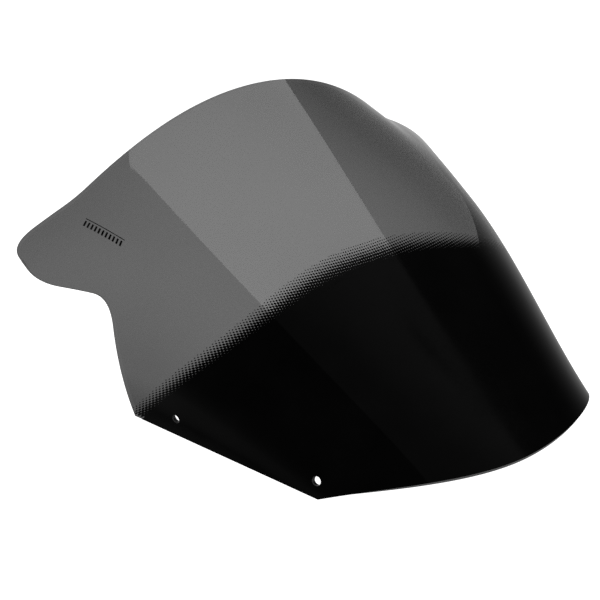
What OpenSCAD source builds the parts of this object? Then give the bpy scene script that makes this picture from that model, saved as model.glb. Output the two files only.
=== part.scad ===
// Motorcycle windshield screen: one formed sheet of tinted acrylic with four fixing holes.
// A black border is printed over its lower half, a fade strip runs along the border's upper
// line, and a small mark is printed on one wing. The front of the motorcycle is towards -Y.
//
// The sheet's outer surface is a fan of arched ribs. A place on it is a pair [side, back].
// side is 0 on the centre line and 1 on the base line, and it is negative on the -X half.
// back is 0 at the front rib and 1 at the rib under the top edge.

/* [Base line] */
// Half the distance between the two front lower corners
front_half_width = 117; // [105:1:130]
// Half the width of the base line, carried back to under the top edge
back_half_width = 240; // [225:1:255]
// Length of the base line, from the front corners back to under the top edge
base_line_length = 401; // [370:1:430]
// Part of the base line that is a real edge, from the front corner to the rear corner
rear_corner_back = 0.416; // [0.39:0.002:0.44]

/* [Centre line] */
// How far the low end of the centre line lies ahead of the front corners
nose_reach = 43; // [34:1:52]
// Height of the low end of the centre line
nose_height = 33; // [26:1:40]
// How far the top of the centre line lies behind the front corners
peak_setback = 253; // [235:1:270]
// Height of the top of the centre line
peak_height = 199; // [185:1:215]
// How far the front part of the centre line sags below a straight line
front_sag = 8.5; // [4:0.5:12]
// How far the back part of the centre line sags below a straight line
back_sag = 2.5; // [0:0.5:5]

/* [Ribs] */
// Breadth of the crown of the front rib
crown_front = 0.38; // [0.34:0.01:0.44]
// Breadth of the crown of the back rib
crown_back = 0.56; // [0.52:0.01:0.6]
// Change in the crown's breadth at mid-length
crown_middle = -0.01; // [-0.04:0.01:0.02]
// Fullness of the side wall at the front rib
wall_front = 0.97; // [0.9:0.01:1.04]
// Fullness of the side wall at the back rib
wall_back = 0.34; // [0.3:0.01:0.38]
// Change in the side wall's fullness at mid-length
wall_middle = 0.37; // [0.32:0.01:0.42]
// Inward lean of the side wall's foot at the front rib
lean_front = 0.13; // [0.1:0.01:0.17]
// Inward lean of the side wall's foot at the back rib
lean_back = 0.18; // [0.14:0.01:0.22]
// Change in the lean at mid-length
lean_middle = -0.09; // [-0.12:0.01:-0.06]

/* [Wings] */
// How far the wings flare outwards, carried down to the base line at the back rib
wing_flare = 41; // [34:1:48]
// How far the wings rise above the plain rib, as a part of the rib's height
wing_lift = 0.253; // [0.2:0.001:0.3]
// Place of the crease between the dome and the wings
crease_side = 0.48; // [0.45:0.01:0.51]
// Half the width of the bend at the crease
crease_bend = 0.04; // [0.03:0.01:0.12]
// Place along the sheet where the flare begins
flare_back = 0.71; // [0.68:0.01:0.74]
// Half the length over which the flare begins
flare_bend = 0.11; // [0.08:0.01:0.15]

/* [Outline] */
// Place of the middle of the front edge, counted back from the front rib
nose_back = -0.08; // [-0.1:0.005:-0.05]
// Hollow of the front edge between its middle and its corners
nose_hollow = 0.01; // [0:0.002:0.02]
// Fullness of the top edge between its middle and the wing tips
top_hollow = -0.028; // [-0.036:0.002:-0.02]

/* [Sheet] */
// Thickness of the acrylic sheet
sheet_t = 3; // [2:0.5:4]
// Diameter of the fixing holes
hole_d = 6.2; // [5:0.1:8]

/* [Print] */
// Thickness of each printed layer
print_t = 0.2; // [0.1:0.05:0.3]
// Width of the bare ring round each fixing hole
hole_ring = 0.4; // [0.2:0.1:1]
// Place of the fade strip's upper line on the centre line
fade_middle_back = 0.511; // [0.49:0.001:0.52]
// Place of the fade strip's upper line on the flanks
fade_flank_back = 0.418; // [0.406:0.002:0.424]
// Width of the fade strip on the flanks and on the centre line, as parts of the base line's
// length
fade_width = 0.036; // [0.03:0.002:0.04]
fade_middle_width = 0.059; // [0.03:0.001:0.07]

/* [Hidden] */

// Corners of the outline, as [side, back], and how far each is rounded off along the edges
// before it and after it
rear_corner = [1, rear_corner_back];
notch = [0.69, 0.655];
notch_round = [0.25, 0.25];
wing_low = [0.75, 0.805];
wing_low_round = [0.3, 0.7];
wing_high = [0.675, 0.935];
wing_high_round = [1, 0.7];
wing_middle = (wing_low + wing_high) / 2;
// Part of the top edge, from the middle, that keeps its own curve before the wing tip
top_plain = 0.88;
// Places of the fixing holes
front_hole = [0.88, 0.045];
rear_hole = [0.94, 0.34];
// How quickly the fade strip's line falls from the middle to the flanks, and how late it turns
// to its end at the rear corner
fade_fall = 4.9;
fade_turn = 10;
// Part of the edge from the rear corner to the notch that the fade strip covers
fade_up_edge = 0.07;
// The base line's front end lies this far ahead of the origin
front_y = -113.1;

// Number of steps across each half, along the border, along the fade and along the clear part
half_columns = 20;
border_rows = 11;
fade_rows = 2;
clear_rows = 15;
round_steps = 8;
// Cells of the grid that the wing mark covers
mark_columns = [5, 6];
mark_rows = [23, 26];
// Half the step used to measure a slope on the surface
slope_step = 0.0005;

columns = 2 * half_columns;
rows = border_rows + fade_rows + clear_rows;
first_fade_row = border_rows;
first_clear_row = border_rows + fade_rows;
clear_colour = [0.16, 0.16, 0.17, 0.75];
ink_colour = [0.02, 0.02, 0.02];
fade_colour = [0.08, 0.08, 0.08];

// ---- the surface ----

// A straight line with its corner at 0 rounded off: 0 before it, t after it
function soft_ramp(t, bend) = t < -bend ? 0 : t > bend ? t : pow(t + bend, 2) / (4 * bend);

// A value that goes from front to back, with a change added at mid-length
function along(front, back, middle, v) = front + (back - front) * v + middle * 4 * v * (1 - v);

function bezier(t, a, b, c, d) =
    pow(1 - t, 3) * a + 3 * pow(1 - t, 2) * t * b + 3 * (1 - t) * t * t * c + pow(t, 3) * d;

// The centre line as [distance ahead of the front corners, height]
nose = [nose_reach, nose_height];
peak = [-peak_setback, peak_height];
chord = peak - nose;
below = [-chord[1], chord[0]] / norm(chord);
function centre_line(v) = bezier(
    v,
    nose,
    nose + chord / 3 + below * front_sag * 4 / 3,
    nose + chord * 2 / 3 + below * back_sag * 4 / 3,
    peak
);

// Share of the full wing flare at a place, 0 on the dome
function wing_share(s, v) =
    soft_ramp(v - flare_back, flare_bend) / (1 - flare_back)
    * soft_ramp(s - crease_side, crease_bend) / (1 - crease_side);

function rib_width(s, v) = bezier(
    s, 0, along(crown_front, crown_back, crown_middle, v),
    1 - along(lean_front, lean_back, lean_middle, v), 1
);
function rib_height(s, v) = bezier(s, 1, 1, along(wall_front, wall_back, wall_middle, v), 0);

// The point of the outer surface at a place
function skin(s, v) =
    let(
        a = abs(s),
        half_width = front_half_width + (back_half_width - front_half_width) * v,
        foot = -base_line_length * v,
        crown = centre_line(v),
        wing = wing_share(a, v),
        x = half_width * rib_width(a, v) + wing_flare * wing,
        rise = rib_height(a, v) + wing_lift * wing,
        ahead = foot + (crown[0] - foot) * rise
    )
    [sign(s) * x, front_y - ahead, crown[1] * rise];

// The unit vector that points out of the surface at a place
function outward(s, v) =
    let(
        across = skin(s + slope_step, v) - skin(s - slope_step, v),
        back = skin(s, v + slope_step) - skin(s, v - slope_step),
        n = cross(across, back)
    )
    n / norm(n);

// ---- the outline and the grid ----

// A corner rounded off by a curve that starts and ends at a share of the edges beside it
function rounded(before, corner, after, cut) =
    [for (i = [0 : round_steps])
        let(
            t = i / round_steps,
            start = corner + (before - corner) * cut[0],
            end = corner + (after - corner) * cut[1]
        )
        pow(1 - t, 2) * start + 2 * t * (1 - t) * corner + t * t * end];

// The length of a path up to each of its points, and the point at a share of its full length
function step_to(path, i) = i == 0 || i == len(path) ? 0 : norm(path[i] - path[i - 1]);
function path_lengths(path) =
    [for (i = 0, total = 0; i < len(path); i = i + 1, total = total + step_to(path, i)) total];
function on_path(path, share) =
    let(
        lengths = path_lengths(path),
        at = share * lengths[len(path) - 1],
        along_path = [for (k = [0, 1]) [for (i = [0 : len(path) - 1]) [lengths[i], path[i][k]]]]
    )
    [lookup(at, along_path[0]), lookup(at, along_path[1])];

// The front edge, from the centre line (p = 0) to a front corner (p = 1)
function front_edge(p) =
    [p, nose_back * (1 - p * p) + nose_hollow * 4 * p * p * (1 - p * p)];

// The line at a share of the fade strip's width, from its lower line (0) to its upper line (1),
// and the end of that line on the sheet's edge
function fade_end(share) =
    share < 0.5
    ? rear_corner + [0, (share - 0.5) * fade_width]
    : rear_corner + (notch - rear_corner) * fade_up_edge * (2 * share - 1);
function fade_line(p, share) =
    let(
        end = fade_end(share),
        flank = fade_flank_back - (1 - share) * fade_width,
        middle = fade_middle_back - (1 - share) * fade_middle_width,
        bump = (middle - flank) * pow(1 - p * p, fade_fall),
        turn = (end[1] - flank) * pow(p, fade_turn)
    )
    [p * end[0], flank + bump + turn];

// The top edge, from the centre line to the middle of the wing tip
function top_curve(t) =
    [t * wing_high[0], 1 + (wing_high[1] - 1) * t * t + top_hollow * 4 * t * t * (1 - t)];
top_path = concat(
    [for (i = [0 : 24]) top_curve(top_plain * i / 24)],
    rounded(top_curve(top_plain), wing_high, wing_middle, wing_high_round),
    [wing_middle]
);

// The free edge, from the fade strip past the notch to the middle of the wing tip
free_path = concat(
    [fade_line(1, 1)],
    rounded(rear_corner, notch, wing_low, notch_round),
    rounded(notch, wing_low, wing_middle, wing_low_round),
    [wing_middle]
);

top_points = [for (i = [0 : half_columns]) on_path(top_path, i / half_columns)];
free_points = [for (j = [0 : clear_rows]) on_path(free_path, j / clear_rows)];

// The place of a grid point on the +X half: column i of half_columns, row j of rows
function border_place(p, t) = front_edge(p) * (1 - t) + fade_line(p, 0) * t;
function clear_place(i, j) =
    let(
        p = i / half_columns,
        t = j / clear_rows,
        low = fade_line(p, 1),
        ends = fade_line(1, 1) * (1 - t) + wing_middle * t
    )
    low * (1 - t) + top_points[i] * t + (free_points[j] - ends) * p;
function half_place(i, j) =
    let(p = i / half_columns)
    j <= first_fade_row ? border_place(p, j / border_rows)
    : j <= first_clear_row ? fade_line(p, (j - first_fade_row) / fade_rows)
    : clear_place(i, j - first_clear_row);
function place(i, j) =
    let(half = half_place(abs(i - half_columns), j))
    [sign(i - half_columns) * half[0], half[1]];

places = [for (j = [0 : rows]) [for (i = [0 : columns]) place(i, j)]];
points = [for (row = places) [for (at = row) skin(at[0], at[1])]];
normals = [for (row = places) [for (at = row) outward(at[0], at[1])]];

// A grid point moved out of the surface. On the base line it moves level, so that the edge
// stays in the base plane.
function on_base(i, j) = (i == 0 || i == columns) && j <= first_fade_row + fade_rows / 2;
function moved(i, j, distance) =
    let(n = normals[j][i], level = [n[0], n[1], 0])
    on_base(i, j)
    ? [points[j][i][0], points[j][i][1], 0] + level * distance / (level * level)
    : points[j][i] + n * distance;

// A closed layer over a block of grid cells, between two distances from the outer surface
module layer(from_column, to_column, from_row, to_row, low, high) {
    wide = to_column - from_column + 1;
    long = to_row - from_row + 1;
    count = wide * long;
    function at(i, j, top) = (top ? count : 0) + j * wide + i;
    vertices = [for (d = [low, high]) for (j = [from_row : to_row])
        for (i = [from_column : to_column]) moved(i, j, d)];
    // Each cell is cut from its corner nearest the centre line at the front
    function cell(i, j, top) =
        let(
            a = at(i, j, top), b = at(i + 1, j, top), c = at(i + 1, j + 1, top), d = at(i, j + 1, top),
            mirrored = i + from_column < half_columns,
            halves = mirrored ? [[a, b, d], [b, c, d]] : [[a, b, c], [a, c, d]]
        )
        top ? [for (h = halves) [h[2], h[1], h[0]]] : halves;
    function wall(a, b, c, d) = [[a, b, c], [a, c, d]];
    faces = concat(
        [for (j = [0 : long - 2]) for (i = [0 : wide - 2]) for (f = cell(i, j, false)) f],
        [for (j = [0 : long - 2]) for (i = [0 : wide - 2]) for (f = cell(i, j, true)) f],
        [for (i = [0 : wide - 2])
            for (f = wall(at(i + 1, 0, false), at(i, 0, false), at(i, 0, true), at(i + 1, 0, true))) f],
        [for (i = [0 : wide - 2])
            for (f = wall(at(i, long - 1, false), at(i + 1, long - 1, false),
                at(i + 1, long - 1, true), at(i, long - 1, true))) f],
        [for (j = [0 : long - 2])
            for (f = wall(at(0, j, false), at(0, j + 1, false), at(0, j + 1, true), at(0, j, true))) f],
        [for (j = [0 : long - 2])
            for (f = wall(at(wide - 1, j + 1, false), at(wide - 1, j, false),
                at(wide - 1, j, true), at(wide - 1, j + 1, true))) f]
    );
    polyhedron(points = vertices, faces = faces, convexity = 6);
}

// ---- the fixing holes ----

// A cylinder through the sheet at a place, square to the surface
module through_hole(hole, diameter) {
    n = outward(hole[0], hole[1]);
    turn = atan2(n[1], n[0]);
    tilt = acos(n[2]);
    translate(skin(hole[0], hole[1]))
        rotate([0, tilt, turn])
            cylinder(d = diameter, h = 8 * sheet_t, center = true, $fn = 48);
}

module fixing_holes(diameter) {
    for (side = [-1, 1]) {
        through_hole([side * front_hole[0], front_hole[1]], diameter);
        through_hole([side * rear_hole[0], rear_hole[1]], diameter);
    }
}

// ---- the sub-parts ----

// The formed sheet, open below, with its four fixing holes
module screen_sheet() {
    color(clear_colour)
        difference() {
            layer(0, columns, 0, rows, -sheet_t, 0);
            fixing_holes(hole_d);
        }
}

// The solid black border, from the front edge up to the fade strip
module border_print() {
    color(ink_colour)
        difference() {
            layer(0, columns, 0, first_fade_row, 0, print_t);
            fixing_holes(hole_d + 2 * hole_ring);
        }
}

// The strip along the border's upper line where the black breaks up into dots
module fade_print() {
    color(fade_colour)
        layer(0, columns, first_fade_row, first_clear_row, 0, print_t);
}

// The small printed mark on the -X wing
module wing_mark() {
    color(ink_colour)
        layer(mark_columns[0], mark_columns[1], mark_rows[0], mark_rows[1], 0, print_t);
}

screen_sheet();
border_print();
fade_print();
wing_mark();
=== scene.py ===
import math

import bpy
import numpy as np
from mathutils import Matrix, Vector


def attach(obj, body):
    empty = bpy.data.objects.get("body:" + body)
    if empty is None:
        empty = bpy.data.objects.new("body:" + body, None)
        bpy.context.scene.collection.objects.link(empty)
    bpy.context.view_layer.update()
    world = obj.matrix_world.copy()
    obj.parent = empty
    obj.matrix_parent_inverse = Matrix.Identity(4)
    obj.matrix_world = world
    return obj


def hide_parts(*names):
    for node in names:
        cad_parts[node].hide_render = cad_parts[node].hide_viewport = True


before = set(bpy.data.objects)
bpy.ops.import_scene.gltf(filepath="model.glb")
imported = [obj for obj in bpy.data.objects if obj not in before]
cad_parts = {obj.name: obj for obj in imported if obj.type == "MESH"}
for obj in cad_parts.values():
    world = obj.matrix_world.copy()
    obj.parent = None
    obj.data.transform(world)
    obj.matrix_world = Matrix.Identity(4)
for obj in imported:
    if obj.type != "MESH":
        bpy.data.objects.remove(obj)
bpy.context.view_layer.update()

MM = 0.001

# ---- driving dimensions: the same values as the design, in millimetres or as shares ----

FRONT_HALF_WIDTH = 117
BACK_HALF_WIDTH = 240
BASE_LINE_LENGTH = 401
REAR_CORNER = np.array([1, 0.416])
NOSE = np.array([43.0, 33.0])
PEAK = np.array([-253.0, 199.0])
FRONT_SAG = 8.5
BACK_SAG = 2.5
CROWN = (0.38, 0.56, -0.01)
WALL = (0.97, 0.34, 0.37)
LEAN = (0.13, 0.18, -0.09)
WING_FLARE = 41
WING_LIFT = 0.253
CREASE_SIDE = 0.48
CREASE_BEND = 0.04
FLARE_BACK = 0.71
FLARE_BEND = 0.11
NOSE_BACK = -0.08
NOSE_HOLLOW = 0.01
TOP_HOLLOW = -0.028
TOP_PLAIN = 0.88
NOTCH = np.array([0.69, 0.655])
NOTCH_ROUND = (0.25, 0.25)
WING_LOW = np.array([0.75, 0.805])
WING_LOW_ROUND = (0.3, 0.7)
WING_HIGH = np.array([0.675, 0.935])
WING_HIGH_ROUND = (1, 0.7)
WING_MIDDLE = (WING_LOW + WING_HIGH) / 2
SHEET_T = 3
HOLE_R = 3.1
HOLE_RING = 0.4  # width of the bare ring that the ink leaves round a hole
FRONT_HOLE = (0.88, 0.045)
REAR_HOLE = (0.94, 0.34)
FADE_MIDDLE_BACK = 0.511
FADE_FLANK_BACK = 0.418
FADE_WIDTH = 0.036
FADE_MIDDLE_WIDTH = 0.059
FADE_FALL = 4.9
FADE_TURN = 10
FADE_UP_EDGE = 0.07
FRONT_Y = -113.1

# ---- finish ----

EDGE_ROUND = 0.4  # radius of the polished edges
EDGE_TURNS = np.radians([30, 60, 90])  # how far a rounded edge has turned at each of its rings
INK_T = 0.05  # height of the ink above the sheet
COLUMNS_ACROSS = 122  # columns of dots for each unit of side, in the middle of the sheet
COLUMN_CLOSING = 21  # how many fewer there are at the base line
COLUMN_SPREAD = 127  # how many more there are for each unit of back
ROWS_BACK = 142  # rows of dots for each unit of back
ROW_BEND = 33  # how many rows further back a row ends at the base line
LATTICE_ROUNDS = 12
SMALLEST_DOT = 0.18  # radius of the outermost dots, as a share of the pitch
LARGEST_DOT = 0.74  # radius at which the dots have grown together
FADE_OVERLAP = 0.2  # how far the dots go on over the border, as a share of the fade
DOT_CORNERS = 12
LARGE_DOT = 0.5  # above this radius, a dot has more corners
LARGE_DOT_CORNERS = 16
DOT_MARGIN = 0.004  # how far the dots stay from the base line and the rear edge

# ---- the mesh ----

HALF_COLUMNS = 72
BORDER_ROWS = 44
FADE_ROWS = 4
CLEAR_ROWS = 66
TOP_STEPS = 60
CORNER_STEPS = 16
FRONT_HOLE_REACH = (5, 3)  # columns and rows of the grid that make way for a hole, each way
REAR_HOLE_REACH = (3, 4)
HOLE_RINGS = 5
HOLE_RING_GROWTH = 0.8  # below 1, the rings lie closer together at the hole
SLOPE_STEP = 0.0005
BASE_LINE = 1 - 1e-9  # places from here outwards lie on the base line


# ---- the surface: a place on it is (side, back), as in the design ----

def soft_ramp(t, bend):
    rounded = (t + bend) ** 2 / (4 * bend)
    return np.where(t < -bend, 0, np.where(t > bend, t, rounded))


def along(values, v):
    front, back, middle = values
    return front + (back - front) * v + middle * 4 * v * (1 - v)


def bezier(t, a, b, c, d):
    return (1 - t) ** 3 * a + 3 * (1 - t) ** 2 * t * b + 3 * (1 - t) * t * t * c + t ** 3 * d


CHORD = PEAK - NOSE
BELOW = np.array([-CHORD[1], CHORD[0]]) / np.hypot(*CHORD)
LOW_CONTROL = NOSE + CHORD / 3 + BELOW * FRONT_SAG * 4 / 3
HIGH_CONTROL = NOSE + CHORD * 2 / 3 + BELOW * BACK_SAG * 4 / 3


def skin(places):
    """The points of the outer surface at places, in millimetres."""
    side = places[..., 0]
    v = places[..., 1]
    s = np.abs(side)
    half_width = FRONT_HALF_WIDTH + (BACK_HALF_WIDTH - FRONT_HALF_WIDTH) * v
    foot = -BASE_LINE_LENGTH * v
    crown_ahead, crown_height = (
        bezier(v, NOSE[k], LOW_CONTROL[k], HIGH_CONTROL[k], PEAK[k]) for k in (0, 1)
    )
    wing = soft_ramp(v - FLARE_BACK, FLARE_BEND) / (1 - FLARE_BACK)
    wing = wing * soft_ramp(s - CREASE_SIDE, CREASE_BEND) / (1 - CREASE_SIDE)
    x = half_width * bezier(s, 0, along(CROWN, v), 1 - along(LEAN, v), 1) + WING_FLARE * wing
    rise = bezier(s, 1, 1, along(WALL, v), 0) + WING_LIFT * wing
    ahead = foot + (crown_ahead - foot) * rise
    return np.stack([np.sign(side) * x, FRONT_Y - ahead, crown_height * rise], axis=-1)


def slopes(places):
    """How the surface's points move along side and along back."""
    across = np.array([SLOPE_STEP, 0])
    back = np.array([0, SLOPE_STEP])
    by_side = (skin(places + across) - skin(places - across)) / (2 * SLOPE_STEP)
    by_back = (skin(places + back) - skin(places - back)) / (2 * SLOPE_STEP)
    return by_side, by_back


def outward(places):
    by_side, by_back = slopes(places)
    n = np.cross(by_side, by_back)
    return n / np.linalg.norm(n, axis=-1, keepdims=True)


def local_places(centre, offsets):
    """Places at offsets in millimetres from a centre: back along the sheet, and square to that."""
    by_side, by_back = slopes(centre)
    n = np.cross(by_side, by_back)
    first = by_back / np.linalg.norm(by_back)
    second = np.cross(n / np.linalg.norm(n), first)
    moves = offsets[:, :1] * first + offsets[:, 1:] * second
    shares = np.linalg.lstsq(np.stack([by_side, by_back], axis=1), moves.T, rcond=None)[0]
    return centre + shares.T


# ---- the outline ----

def rounded_corner(before, corner, after, cut):
    t = np.linspace(0, 1, CORNER_STEPS + 1)[:, None]
    start = corner + (before - corner) * cut[0]
    end = corner + (after - corner) * cut[1]
    return (1 - t) ** 2 * start + 2 * t * (1 - t) * corner + t * t * end


def on_path(path, shares):
    steps = np.hypot(*np.diff(path, axis=0).T)
    lengths = np.concatenate([[0], np.cumsum(steps)])
    at = shares * lengths[-1]
    return np.stack([np.interp(at, lengths, path[:, k]) for k in (0, 1)], axis=-1)


def front_edge(p):
    return np.stack([p, NOSE_BACK * (1 - p * p) + NOSE_HOLLOW * 4 * p * p * (1 - p * p)], axis=-1)


def fade_line(p, share):
    """The line across the sheet at a share of the fade, 0 at the border and 1 at the clear part."""
    if share < 0.5:
        end = REAR_CORNER + np.array([0, (share - 0.5) * FADE_WIDTH])
    else:
        end = REAR_CORNER + (NOTCH - REAR_CORNER) * FADE_UP_EDGE * (2 * share - 1)
    flank = FADE_FLANK_BACK - (1 - share) * FADE_WIDTH
    middle = FADE_MIDDLE_BACK - (1 - share) * FADE_MIDDLE_WIDTH
    bump = (middle - flank) * np.maximum(1 - p * p, 0) ** FADE_FALL
    turn = (end[1] - flank) * p ** FADE_TURN
    return np.stack([p * end[0], flank + bump + turn], axis=-1)


def top_curve(t):
    v = 1 + (WING_HIGH[1] - 1) * t * t + TOP_HOLLOW * 4 * t * t * (1 - t)
    return np.stack([t * WING_HIGH[0], v], axis=-1)


TOP_PATH = np.concatenate([
    top_curve(np.linspace(0, TOP_PLAIN, TOP_STEPS)),
    rounded_corner(top_curve(np.array(TOP_PLAIN)), WING_HIGH, WING_MIDDLE, WING_HIGH_ROUND),
    [WING_MIDDLE],
])
FREE_PATH = np.concatenate([
    [fade_line(np.array(1.0), 1)],
    rounded_corner(REAR_CORNER, NOTCH, WING_LOW, NOTCH_ROUND),
    rounded_corner(NOTCH, WING_LOW, WING_MIDDLE, WING_LOW_ROUND),
    [WING_MIDDLE],
])


# ---- plans: the places, faces and edge loops of a piece ----

def grid_places():
    """The grid's places by row and column, from the front edge to the top edge."""
    p = np.linspace(0, 1, HALF_COLUMNS + 1)
    rows = [front_edge(p) * (1 - t) + fade_line(p, 0) * t
            for t in np.linspace(0, 1, BORDER_ROWS + 1)]
    rows += [fade_line(p, k / FADE_ROWS) for k in range(1, FADE_ROWS + 1)]
    top = on_path(TOP_PATH, p)
    free = on_path(FREE_PATH, np.linspace(0, 1, CLEAR_ROWS + 1))
    for k in range(1, CLEAR_ROWS + 1):
        t = k / CLEAR_ROWS
        ends = free[0] * (1 - t) + WING_MIDDLE * t
        rows.append(fade_line(p, 1) * (1 - t) + top * t + (free[k] - ends) * p[:, None])
    half = np.array(rows)
    mirrored = half[:, :0:-1] * np.array([-1, 1])
    return np.concatenate([mirrored, half], axis=1)


GRID = grid_places()
COLUMNS = 2 * HALF_COLUMNS


def hole_blocks():
    """Each hole's centre and the block of grid cells that its rings of faces replace."""
    blocks = []
    for hole, (columns, rows) in ((FRONT_HOLE, FRONT_HOLE_REACH), (REAR_HOLE, REAR_HOLE_REACH)):
        for sign in (-1, 1):
            centre = np.array([sign * hole[0], hole[1]])
            away = np.abs(GRID[:BORDER_ROWS + 1] - centre).sum(axis=-1)
            j, i = np.unravel_index(away.argmin(), away.shape)
            blocks.append((centre, i - columns, i + columns, j - rows, j + rows))
    return blocks


def block_loop(i0, i1, j0, j1):
    """The grid points round a block of cells, anticlockwise from outside, as (row, column)."""
    return ([(j0, i) for i in range(i0, i1)] + [(j, i1) for j in range(j0, j1)]
            + [(j1, i) for i in range(i1, i0, -1)] + [(j, i0) for j in range(j1, j0, -1)])


def ring_places(centre, around, radius):
    """Places of a circle of the radius round a centre, one for each place around it."""
    by_side, by_back = slopes(centre)
    first = by_back / np.linalg.norm(by_back)
    second = np.cross(outward(centre), first)
    away = (around - centre) @ np.stack([by_side, by_back])
    angles = np.arctan2(away @ second, away @ first)
    return local_places(centre, radius * np.stack([np.cos(angles), np.sin(angles)], axis=-1))


def plan(first_row, last_row, hole_radius):
    """Places, faces and edge loops of the grid between two rows, with the fixing holes there."""
    wide = COLUMNS + 1
    places = list(GRID[first_row:last_row + 1].reshape(-1, 2))

    def number(j, i):
        return (j - first_row) * wide + i

    blocks = [b for b in hole_blocks() if first_row <= b[3] and b[4] <= last_row]
    cut = {(j, i) for _, i0, i1, j0, j1 in blocks for j in range(j0, j1) for i in range(i0, i1)}
    faces = [(number(j, i), number(j, i + 1), number(j + 1, i + 1), number(j + 1, i))
             for j in range(first_row, last_row) for i in range(COLUMNS) if (j, i) not in cut]
    loops = [[number(*at) for at in block_loop(0, COLUMNS, first_row, last_row)]]
    for centre, i0, i1, j0, j1 in blocks:
        outer = [number(*at) for at in block_loop(i0, i1, j0, j1)]
        around = np.array([places[k] for k in outer])
        circle = ring_places(centre, around, hole_radius)
        for k in range(1, HOLE_RINGS + 1):
            t = (k / HOLE_RINGS) ** HOLE_RING_GROWTH
            inner = list(range(len(places), len(places) + len(outer)))
            places += list(around * (1 - t) + circle * t)
            for a in range(len(outer)):
                b = (a + 1) % len(outer)
                faces.append((outer[a], outer[b], inner[b], inner[a]))
            outer = inner
        loops.append(outer[::-1])
    return np.array(places), faces, loops


# ---- solids ----

def make_piece(name, vertices, normals, faces, materials, face_materials=None):
    """A smooth mesh piece from vertices in millimetres, each with its own normal."""
    mesh = bpy.data.meshes.new(name)
    mesh.from_pydata((np.array(vertices) * MM).tolist(), [], faces)
    for material in materials:
        mesh.materials.append(material)
    if face_materials is not None:
        mesh.polygons.foreach_set("material_index", face_materials)
    mesh.polygons.foreach_set("use_smooth", [True] * len(faces))
    mesh.validate()
    lengths = np.linalg.norm(normals, axis=-1, keepdims=True)
    mesh.normals_split_custom_set_from_vertices((np.array(normals) / lengths).tolist())
    piece = bpy.data.objects.new(name, mesh)
    bpy.context.scene.collection.objects.link(piece)
    return piece


def raised(places, points, normals, height):
    """Points moved out of the surface. Those on the base line move level, to stay on the floor."""
    on_base = (np.abs(places[:, 0]) > BASE_LINE)[:, None]
    level = normals * np.array([1, 1, 0])
    flat = level / (level * level).sum(axis=-1, keepdims=True)
    return points + np.where(on_base, flat, normals) * height


def layer(name, piece_plan, low, high, edge_round, materials):
    """A closed layer over a plan, between two heights above the outer surface.

    The first material is for the faces, the next for the outer edge and the last for the holes.
    """
    places, faces, loops = piece_plan
    points = skin(places)
    normals = outward(places)
    count = len(places)
    top = raised(places, points, normals, high)
    bottom = raised(places, points, normals, low)
    vertices = [top, bottom]
    vertex_normals = [normals, -normals]
    all_faces = list(faces) + [tuple(k + count for k in face[::-1]) for face in faces]
    kinds = [0] * len(all_faces)
    angles = EDGE_TURNS if edge_round else []
    total = 2 * count
    for number, loop in enumerate(loops):
        k = np.array(loop)
        ahead = points[np.roll(k, -1)] - points[np.roll(k, 1)]
        inward = np.cross(normals[k], ahead)
        inward /= np.linalg.norm(inward, axis=-1, keepdims=True)
        top[k] += inward * edge_round
        bottom[k] += inward * edge_round
        rings = [k]
        profile = [(edge_round * (1 - math.sin(a)), edge_round * (1 - math.cos(a)), a)
                   for a in angles]
        steps = [(inset, high - depth, a) for inset, depth, a in profile]
        steps += [(inset, low + depth, math.pi - a) for inset, depth, a in profile[::-1]]
        for inset, height, a in steps:
            ring = raised(places[k], points[k], normals[k], height) + inward * inset
            vertices.append(ring)
            vertex_normals.append(normals[k] * math.cos(a) - inward * math.sin(a))
            rings.append(np.arange(total, total + len(k)))
            total += len(k)
        rings.append(k + count)
        for upper, lower in zip(rings, rings[1:]):
            for a in range(len(k)):
                b = (a + 1) % len(k)
                all_faces.append((int(upper[b]), int(upper[a]), int(lower[a]), int(lower[b])))
                kinds.append(min(number + 1, 2, len(materials) - 1))
    return make_piece(name, np.concatenate(vertices), np.concatenate(vertex_normals),
                      all_faces, materials, kinds)


def chips(name, outlines, materials):
    """Thin closed flakes of ink on the surface, one for each closed outline of places."""
    vertices = []
    normals = []
    faces = []
    total = 0
    for outline in outlines:
        n = outward(outline)
        points = skin(outline)
        count = len(outline)
        vertices += [points + n * INK_T, points]
        normals += [n, n]
        faces.append(tuple(range(total, total + count)))
        faces.append(tuple(range(total + 2 * count - 1, total + count - 1, -1)))
        for a in range(count):
            b = (a + 1) % count
            faces.append((total + b, total + a, total + count + a, total + count + b))
        total += 2 * count
    return make_piece(name, np.concatenate(vertices), np.concatenate(normals), faces, materials)


# ---- materials ----

NOISE_LOW = 0.3  # a noise stays mostly between these two
NOISE_HIGH = 0.7
CLEAR_THROUGH = 0.1  # what the sheet lets through, looking square to it
BORE_THROUGH = CLEAR_THROUGH ** 3  # a bore's wall is seen along the sheet, through more of it
ACRYLIC_IOR = 1.49
ACRYLIC_MIRROR = 0.04  # what each surface mirrors, looking square to it
INK_MIRROR = 0.0008
GRAZING_POWER = 5.0  # how late the mirror sets in towards a grazing angle
TINT_SWING = 0.03  # how far the tint varies either way, as a share
POLISH_SWING = 0.3
DUST_SHADE = 0.5
DUST_LOW = 0.45  # the noise values between which specks of dust grow
DUST_HIGH = 0.75
INK_SHADES = (0.0005, 0.001)
INK_POLISH = (0.8, 1.25)  # the ink's roughness runs between these shares of its own


def new_material(name):
    material = bpy.data.materials.new(name)
    material.use_nodes = True
    tree = material.node_tree
    tree.nodes.clear()
    output = tree.nodes.new("ShaderNodeOutputMaterial")
    return material, tree, output


def node(tree, kind, **settings):
    made = tree.nodes.new(kind)
    for key, value in settings.items():
        setattr(made, key, value)
    return made


def grey(shade):
    return (shade, shade, shade, 1)


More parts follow.
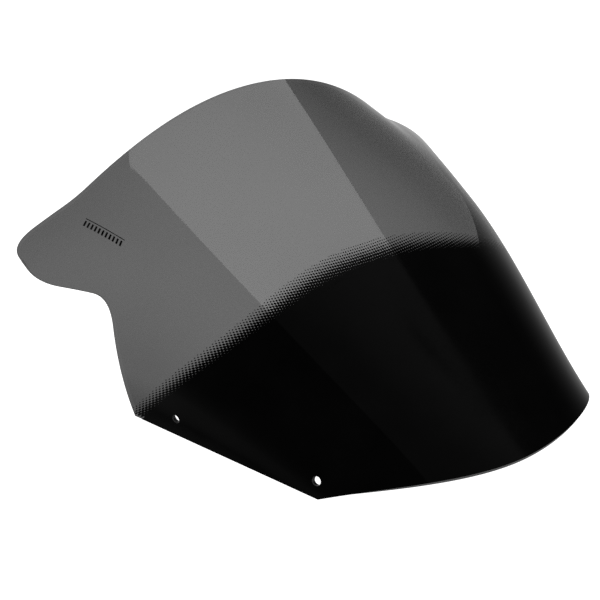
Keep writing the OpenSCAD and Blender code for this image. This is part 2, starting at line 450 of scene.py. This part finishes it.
def math_node(tree, operation, first, second=None):
    made = node(tree, "ShaderNodeMath", operation=operation)
    for socket, value in zip(made.inputs, (first, second)):
        if isinstance(value, bpy.types.NodeSocket):
            tree.links.new(value, socket)
        elif value is not None:
            socket.default_value = value
    return made.outputs[0]


def noise(tree, waves, detail):
    """A noise value from 0 to 1 that lies in the piece's own space, in waves per metre."""
    coordinates = node(tree, "ShaderNodeTexCoord")
    texture = node(tree, "ShaderNodeTexNoise")
    texture.inputs["Scale"].default_value = waves
    texture.inputs["Detail"].default_value = detail
    tree.links.new(coordinates.outputs["Object"], texture.inputs["Vector"])
    return texture.outputs["Fac"]


def between(tree, value, low, high, from_low=NOISE_LOW, from_high=NOISE_HIGH):
    """A value carried over from one range to another, and held at its ends."""
    made = node(tree, "ShaderNodeMapRange")
    tree.links.new(value, made.inputs["Value"])
    for name, number in (("From Min", from_low), ("From Max", from_high),
                         ("To Min", low), ("To Max", high)):
        made.inputs[name].default_value = number
    return made.outputs["Result"]


def mirror_share(tree, head_on):
    """How far a ray's path slants, and the share of it that a smooth surface mirrors."""
    facing = node(tree, "ShaderNodeLayerWeight")
    facing.inputs["Blend"].default_value = 0.5
    slant = facing.outputs["Facing"]
    grazing = math_node(tree, "POWER", slant, GRAZING_POWER)
    grazing = math_node(tree, "MULTIPLY", grazing, 1 - head_on)
    return slant, math_node(tree, "ADD", grazing, head_on)


def smoke_acrylic(name, through, haze, roughness):
    """Tinted acrylic as two walls, each of which takes half the tint and mirrors by its angle."""
    material, tree, output = new_material(name)
    slant, mirror = mirror_share(tree, ACRYLIC_MIRROR)
    cosine = math_node(tree, "SUBTRACT", 1.0, slant)
    sine_squared = math_node(tree, "SUBTRACT", 1.0, math_node(tree, "MULTIPLY", cosine, cosine))
    bent = math_node(tree, "DIVIDE", sine_squared, ACRYLIC_IOR ** 2)
    inner_cosine = math_node(tree, "SQRT", math_node(tree, "SUBTRACT", 1.0, bent))
    tint = between(tree, noise(tree, 9, 3),
                   through * (1 - TINT_SWING), through * (1 + TINT_SWING))
    passed = math_node(tree, "POWER", tint, math_node(tree, "DIVIDE", 0.5, inner_cosine))
    clear = node(tree, "ShaderNodeBsdfTransparent")
    tree.links.new(passed, clear.inputs["Color"])

    dust = node(tree, "ShaderNodeBsdfDiffuse")
    dust.inputs["Color"].default_value = grey(DUST_SHADE)
    dusty = node(tree, "ShaderNodeMixShader")
    specks = between(tree, noise(tree, 900, 2), 0, haze, DUST_LOW, DUST_HIGH)
    tree.links.new(specks, dusty.inputs["Fac"])
    tree.links.new(clear.outputs[0], dusty.inputs[1])
    tree.links.new(dust.outputs[0], dusty.inputs[2])

    gloss = node(tree, "ShaderNodeBsdfGlossy")
    polish = between(tree, noise(tree, 60, 4),
                     roughness * (1 - POLISH_SWING), roughness * (1 + POLISH_SWING))
    tree.links.new(polish, gloss.inputs["Roughness"])
    surface = node(tree, "ShaderNodeMixShader")
    tree.links.new(mirror, surface.inputs["Fac"])
    tree.links.new(dusty.outputs[0], surface.inputs[1])
    tree.links.new(gloss.outputs[0], surface.inputs[2])
    tree.links.new(surface.outputs[0], output.inputs["Surface"])
    return material


def black_ink(name, roughness):
    """Screen-printed black ink: a dull film with a faint grain, which mirrors at grazing angles."""
    material, tree, output = new_material(name)
    film = node(tree, "ShaderNodeBsdfDiffuse")
    shade = between(tree, noise(tree, 30, 3), *INK_SHADES)
    tree.links.new(shade, film.inputs["Color"])
    gloss = node(tree, "ShaderNodeBsdfGlossy")
    polish = between(tree, noise(tree, 400, 3), *(roughness * share for share in INK_POLISH))
    tree.links.new(polish, gloss.inputs["Roughness"])
    surface = node(tree, "ShaderNodeMixShader")
    tree.links.new(mirror_share(tree, INK_MIRROR)[1], surface.inputs["Fac"])
    tree.links.new(film.outputs[0], surface.inputs[1])
    tree.links.new(gloss.outputs[0], surface.inputs[2])
    tree.links.new(surface.outputs[0], output.inputs["Surface"])
    return material


SHEET_FACE = smoke_acrylic("smoke_acrylic", CLEAR_THROUGH, 0.004, 0.02)
SHEET_EDGE = smoke_acrylic("smoke_acrylic_edge", CLEAR_THROUGH, 0.02, 0.12)
HOLE_EDGE = smoke_acrylic("smoke_acrylic_bore", BORE_THROUGH, 0.02, 0.2)
INK = black_ink("black_ink", 0.05)
DOT_INK = black_ink("black_dot_ink", 0.06)


# ---- the sheet and the border ----

sheet = layer("formed_screen", plan(0, len(GRID) - 1, HOLE_R), -SHEET_T, 0, EDGE_ROUND,
              [SHEET_FACE, SHEET_EDGE, HOLE_EDGE])
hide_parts("screen_sheet")

border = layer("printed_border", plan(0, BORDER_ROWS, HOLE_R + HOLE_RING), 0, INK_T, 0, [INK])
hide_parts("border_print")


# ---- the dot fade ----

def line_back(side, share):
    """The place along the sheet of a fade line, at a place across it."""
    reach = fade_line(np.array(1.0), share)[0]
    return fade_line(np.minimum(np.abs(side) / reach, 1), share)[..., 1]


def dot_outline(radius):
    """A dot's outline in its own cell of half a pitch each way. It stops at the cell's sides."""
    corners = LARGE_DOT_CORNERS if radius > LARGE_DOT else DOT_CORNERS
    angles = np.arange(corners) * 2 * math.pi / corners
    steps = np.stack([np.cos(angles), np.sin(angles)], axis=-1)
    to_side = 1 / np.abs(steps).max(axis=-1)
    return steps * np.minimum(2 * radius, to_side)[:, None] / 2


def lattice_places(columns, rows):
    """The places of points of a lattice that was square on the flat sheet, counted in dots."""
    side = columns / COLUMNS_ACROSS
    for _ in range(LATTICE_ROUNDS):
        back = (rows + ROW_BEND * side ** 2) / ROWS_BACK
        side = columns / (COLUMNS_ACROSS - COLUMN_CLOSING * side ** 2
                          + COLUMN_SPREAD * (back - FADE_MIDDLE_BACK))
    return np.stack([side, back], axis=-1)


def fade_dots():
    """Outlines of the dots, which shrink row by row from the border to the clear sheet."""
    outlines = []
    for column in range(-COLUMNS_ACROSS, COLUMNS_ACROSS + 1):
        for row in range(ROWS_BACK):
            middle = lattice_places(np.array(column + 0.5), np.array(float(row)))
            low, high = (float(line_back(middle[0], share)) for share in (0, 1))
            share = (middle[1] - low) / (high - low)
            if not -FADE_OVERLAP < share < 1:
                continue
            radius = LARGEST_DOT + (SMALLEST_DOT - LARGEST_DOT) * max(share, 0)
            outline = dot_outline(radius)
            places = lattice_places(column + 0.5 + outline[:, 0], row + outline[:, 1])
            if all(inside(*place) for place in places):
                outlines.append(places)
    return outlines


def inside(side, back):
    """True where a place lies on the sheet, a little short of its base line and rear edge."""
    up = max(back - REAR_CORNER[1], 0) / (NOTCH[1] - REAR_CORNER[1])
    return abs(side) < 1 + (NOTCH[0] - 1) * up - DOT_MARGIN


dots = chips("printed_fade_dots", fade_dots(), [DOT_INK])
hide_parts("fade_print")


# ---- the wing mark: a plain row of bars over a thin line ----

MARK_CENTRE = np.array([-0.53, 0.808])
MARK_LENGTH = 46
MARK_BARS = 11
BAR_MIDDLE = 1  # height of the bars' middle above the mark's centre
BAR_HEIGHT = 4.2
BAR_WIDTH = 2.0
BAR_LEAN = 1.1
LINE_LOW = -2.9
LINE_HIGH = -2.3


def mark_outlines():
    gap = MARK_LENGTH / MARK_BARS
    low = BAR_MIDDLE - BAR_HEIGHT / 2
    high = BAR_MIDDLE + BAR_HEIGHT / 2
    shapes = []
    for k in range(MARK_BARS):
        x = (k - (MARK_BARS - 1) / 2) * gap
        shapes.append([(x - BAR_WIDTH / 2, low), (x + BAR_WIDTH / 2, low),
                       (x + BAR_WIDTH / 2 + BAR_LEAN, high), (x - BAR_WIDTH / 2 + BAR_LEAN, high)])
        shapes.append([(x - gap / 2, LINE_LOW), (x + gap / 2, LINE_LOW),
                       (x + gap / 2, LINE_HIGH), (x - gap / 2, LINE_HIGH)])
    turned = [np.array([(-x, y) for x, y in shape]) for shape in shapes]
    return [local_places(MARK_CENTRE, shape[::-1]) for shape in turned]


mark = chips("printed_wing_mark", mark_outlines(), [DOT_INK])
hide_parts("wing_mark")

for piece in (sheet, border, dots, mark):
    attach(piece, "root")


# ---- floor, light and camera, in metres ----

FLOOR_REACH = 8.0
FLOOR_DROP = 0.0005  # how far the floor lies below the sheet's lowest points
FLOOR_SHADE = 0.3
GLOW_CENTRE = (0.1, 0.1, 0)
GLOW = (1.22, 0.92, 0.26, 0.56)  # the floor's own light, near and far, and the two distances
LIGHT_PLACE = (0, 0.2, 3.0)
LIGHT_SIDE = 3.0
LIGHT_POWER = 40
PANEL_HEIGHT = 1.0
PANEL_STRENGTH = 2.6
PANEL_STEPS = 33
# The panel's two bowed sides: the X of each curve's four points, then their Y.
PANEL_LEFT = ((-0.59, -0.271, -0.086, -0.036), (0.739, 0.246, -0.096, -0.288))
PANEL_RIGHT = ((0.743, 0.434, 0.679, 0.840), (-0.131, -0.129, 0.143, 0.377))
PANEL_BACK_LEFT = (-0.63, 0.86)
PANEL_FRONT = ((0.024, -0.4), (0.8, -0.4), (0.8, -0.133))
PANEL_BACK_RIGHT = (1.12, 0.745)
ROOM_LEFT = (0.1, 0.7, -0.6, -0.4)  # the room's light at a low and a high Z, and those Z
ROOM_RIGHT = (0.42, 0.12, 0, 0.5)
ROOM_TURN = (0.45, 0.8)  # the values of X between which the left side turns into the right
CAMERA_AZIMUTH = math.radians(328.02)
CAMERA_ELEVATION = math.radians(27.19)
CAMERA_ROLL = math.radians(-2.68)
CAMERA_DISTANCE = 0.9361
CAMERA_AIM = Vector((-0.0439, 0.0145, 0.0733))
CAMERA_LENS = 76.2
CAMERA_SENSOR = 36


def floor():
    """A pale floor that glows softly round the object, so that no shadow darkens it."""
    mesh = bpy.data.meshes.new("floor")
    reach = FLOOR_REACH
    corners = [(-reach, -reach, 0), (reach, -reach, 0), (reach, reach, 0), (-reach, reach, 0)]
    mesh.from_pydata(corners, [], [(0, 1, 2, 3)])
    made = bpy.data.objects.new("floor", mesh)
    made.location.z = -FLOOR_DROP
    bpy.context.scene.collection.objects.link(made)
    material, tree, output = new_material("pale_floor")
    paint = node(tree, "ShaderNodeBsdfDiffuse")
    paint.inputs["Color"].default_value = grey(FLOOR_SHADE)
    coordinates = node(tree, "ShaderNodeTexCoord")
    away = node(tree, "ShaderNodeVectorMath", operation="DISTANCE")
    away.inputs[1].default_value = GLOW_CENTRE
    tree.links.new(coordinates.outputs["Object"], away.inputs[0])
    glow = node(tree, "ShaderNodeEmission")
    strength = between(tree, away.outputs["Value"], *GLOW)
    tree.links.new(strength, glow.inputs["Strength"])
    both = node(tree, "ShaderNodeAddShader")
    tree.links.new(paint.outputs[0], both.inputs[0])
    tree.links.new(glow.outputs[0], both.inputs[1])
    tree.links.new(both.outputs[0], output.inputs["Surface"])
    mesh.materials.append(material)
    made.visible_glossy = False


def top_light():
    """A wide soft light from above, which the sheet doesn't mirror."""
    light = bpy.data.lights.new("top_light", "AREA")
    light.shape = "RECTANGLE"
    light.size = LIGHT_SIDE
    light.size_y = LIGHT_SIDE
    light.energy = LIGHT_POWER
    made = bpy.data.objects.new("top_light", light)
    made.location = LIGHT_PLACE
    made.rotation_euler = (-Vector(LIGHT_PLACE)).to_track_quat("-Z", "Y").to_euler()
    made.visible_glossy = False
    made.visible_camera = False
    bpy.context.scene.collection.objects.link(made)


def band_light():
    """A level bright panel overhead, whose bowed sides the sheet mirrors as a straight band."""
    t = np.linspace(0, 1, PANEL_STEPS)
    left, right = (list(zip(*(bezier(t, *ends) for ends in side)))
                   for side in (PANEL_LEFT, PANEL_RIGHT))
    outline = [PANEL_BACK_LEFT, *left, *PANEL_FRONT, *right, PANEL_BACK_RIGHT]
    corners = [(float(x), float(y), PANEL_HEIGHT) for x, y in outline]
    mesh = bpy.data.meshes.new("band_light")
    mesh.from_pydata(corners, [], [tuple(range(len(corners)))])
    made = bpy.data.objects.new("band_light", mesh)
    bpy.context.scene.collection.objects.link(made)
    material, tree, output = new_material("band_light")
    glow = node(tree, "ShaderNodeEmission")
    glow.inputs["Strength"].default_value = PANEL_STRENGTH
    tree.links.new(glow.outputs[0], output.inputs["Surface"])
    mesh.materials.append(material)
    made.visible_camera = False
    made.visible_diffuse = False
    made.visible_shadow = False


def room():
    """A soft room, white to the camera, and dimmer in reflections, on its right above all."""
    made = bpy.data.worlds.new("studio")
    made.use_nodes = True
    tree = made.node_tree
    coordinates = node(tree, "ShaderNodeTexCoord")
    split = node(tree, "ShaderNodeSeparateXYZ")
    tree.links.new(coordinates.outputs["Generated"], split.inputs[0])
    left = between(tree, split.outputs["Z"], *ROOM_LEFT)
    right = between(tree, split.outputs["Z"], *ROOM_RIGHT)
    rightness = between(tree, split.outputs["X"], 0, 1, *ROOM_TURN)
    change = math_node(tree, "SUBTRACT", right, left)
    mirrored = math_node(tree, "ADD", left, math_node(tree, "MULTIPLY", rightness, change))
    path = node(tree, "ShaderNodeLightPath")
    level = node(tree, "ShaderNodeMix")
    tree.links.new(path.outputs["Is Camera Ray"], level.inputs["Factor"])
    tree.links.new(mirrored, level.inputs["A"])
    level.inputs["B"].default_value = 1.0
    tree.links.new(level.outputs["Result"], tree.nodes["Background"].inputs["Strength"])
    tree.nodes["Background"].inputs["Color"].default_value = grey(1)
    bpy.context.scene.world = made


def camera():
    azimuth = CAMERA_AZIMUTH
    back = Vector((math.sin(azimuth) * math.cos(CAMERA_ELEVATION),
                   -math.cos(azimuth) * math.cos(CAMERA_ELEVATION), math.sin(CAMERA_ELEVATION)))
    level = Vector((math.cos(azimuth), math.sin(azimuth), 0))
    upright = back.cross(level)
    right = level * math.cos(CAMERA_ROLL) + upright * math.sin(CAMERA_ROLL)
    up = upright * math.cos(CAMERA_ROLL) - level * math.sin(CAMERA_ROLL)
    lens = bpy.data.cameras.new("camera")
    lens.lens = CAMERA_LENS
    lens.sensor_width = CAMERA_SENSOR
    made = bpy.data.objects.new("camera", lens)
    turn = Matrix((right, up, back)).transposed().to_4x4()
    made.matrix_world = Matrix.Translation(CAMERA_AIM + back * CAMERA_DISTANCE) @ turn
    bpy.context.scene.collection.objects.link(made)
    bpy.context.scene.camera = made


floor()
top_light()
band_light()
room()
camera()
bpy.context.scene.view_settings.view_transform = "Standard"
bpy.context.scene.cycles.denoising_prefilter = "NONE"  # keeps the small dots apart
